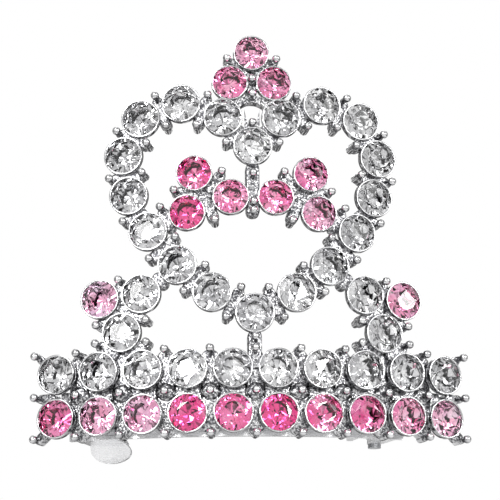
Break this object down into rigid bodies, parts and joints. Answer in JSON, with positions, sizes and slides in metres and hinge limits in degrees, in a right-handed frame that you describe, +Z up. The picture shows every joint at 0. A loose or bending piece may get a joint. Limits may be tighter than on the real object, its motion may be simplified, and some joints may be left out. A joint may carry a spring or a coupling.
{
  "type": "hair clip",
  "caption": "Heart tiara hair clip: bright cast frame set with clear and pink foil-backed crystals, on a snap barrette with a swinging clasp bar.",
  "frame": {"origin": "middle of the gap that holds the lock of hair, between the spring leaf and the clasp bar, at mid width of the barrette", "axes": "+X along the rows of stones towards the hinge, -Y out of the jewelled face, +Z up towards the crest"},
  "size_m": [0.0484, 0.0118, 0.0467],
  "materials": {
    "plated_casting": "bright plated casting, polished, slightly uneven",
    "barrette_steel": "bright nickel-plated stamped steel",
    "spring_steel": "thin brushed spring steel",
    "clear_crystal": "clear faceted crystal with a silver foil back",
    "pink_crystal": "rose pink faceted crystal with a silver foil back"
  },
  "bodies": {
    "frame": {"cast_frame": "plated_casting", "base_plate": "barrette_steel", "hinge_pin": "barrette_steel", "stone_lower_row_01": "pink_crystal", "stone_lower_row_02": "pink_crystal", "stone_lower_row_03": "pink_crystal", "stone_lower_row_04": "pink_crystal", "stone_lower_row_05": "pink_crystal", "stone_lower_row_06": "pink_crystal", "stone_lower_row_07": "pink_crystal", "stone_lower_row_08": "pink_crystal", "stone_lower_row_09": "pink_crystal", "stone_lower_row_10": "pink_crystal", "stone_upper_row_01": "clear_crystal", "stone_upper_row_02": "clear_crystal", "stone_upper_row_03": "clear_crystal", "stone_upper_row_04": "clear_crystal", "stone_upper_row_05": "clear_crystal", "stone_upper_row_06": "clear_crystal", "stone_upper_row_07": "clear_crystal", "stone_upper_row_08": "clear_crystal", "stone_upper_row_09": "clear_crystal", "stone_upper_row_10": "clear_crystal", "stone_heart_top": "clear_crystal", "stone_heart_bottom": "clear_crystal", "stone_crest_top": "pink_crystal", "stone_heart_right_1": "clear_crystal", "stone_heart_right_2": "clear_crystal", "stone_heart_right_3": "clear_crystal", "stone_heart_right_4": "clear_crystal", "stone_heart_right_5": "clear_crystal", "stone_heart_right_6": "clear_crystal", "stone_heart_right_7": "clear_crystal", "stone_heart_right_8": "clear_crystal", "stone_crest_right": "pink_crystal", "stone_sprig_outer_right": "pink_crystal", "stone_sprig_lower_right": "pink_crystal", "stone_sprig_inner_right": "pink_crystal", "stone_shoulder_outer_right": "pink_crystal", "stone_shoulder_inner_right": "clear_crystal", "stone_shoulder_lower_right": "clear_crystal", "stone_heart_left_1": "clear_crystal", "stone_heart_left_2": "clear_crystal", "stone_heart_left_3": "clear_crystal", "stone_heart_left_4": "clear_crystal", "stone_heart_left_5": "clear_crystal", "stone_heart_left_6": "clear_crystal", "stone_heart_left_7": "clear_crystal", "stone_heart_left_8": "clear_crystal", "stone_crest_left": "pink_crystal", "stone_sprig_outer_left": "pink_crystal", "stone_sprig_lower_left": "pink_crystal", "stone_sprig_inner_left": "pink_crystal", "stone_shoulder_outer_left": "pink_crystal", "stone_shoulder_inner_left": "clear_crystal", "stone_shoulder_lower_left": "clear_crystal"},
    "clasp": {"clasp_bar": "barrette_steel"},
    "leaf": {"spring_leaf": "spring_steel"},
    "lower_ear": {"catch_ear_lower": "barrette_steel"},
    "upper_ear": {"catch_ear_upper": "barrette_steel"}
  },
  "joints": [
    {"name": "clasp_open", "type": "hinge", "parent": "frame", "child": "clasp", "pos_m": [0.01387, 0.00253, 0], "axis": [0, 0, -1], "range_deg": [0, 95]},
    {"name": "leaf_press", "type": "hinge", "parent": "frame", "child": "leaf", "pos_m": [0.01176, -0.00192, 0], "axis": [0, 0, 1], "range_deg": [0, 2.5], "stiffness_Nm_per_rad": 0.01},
    {"name": "lower_ear_spread", "type": "hinge", "parent": "frame", "child": "lower_ear", "pos_m": [-0.01691, -0.00061, -0.0031], "axis": [-0.9391, 0.3437, 0], "range_deg": [0, 4], "stiffness_Nm_per_rad": 0.01},
    {"name": "upper_ear_spread", "type": "hinge", "parent": "frame", "child": "upper_ear", "pos_m": [-0.01691, -0.00061, 0.0031], "axis": [0.9391, -0.3437, 0], "range_deg": [0, 4], "stiffness_Nm_per_rad": 0.01}
  ],
  "couplings": [
    {"joint": "upper_ear_spread", "follows": "lower_ear_spread", "ratio": 1}
  ]
}
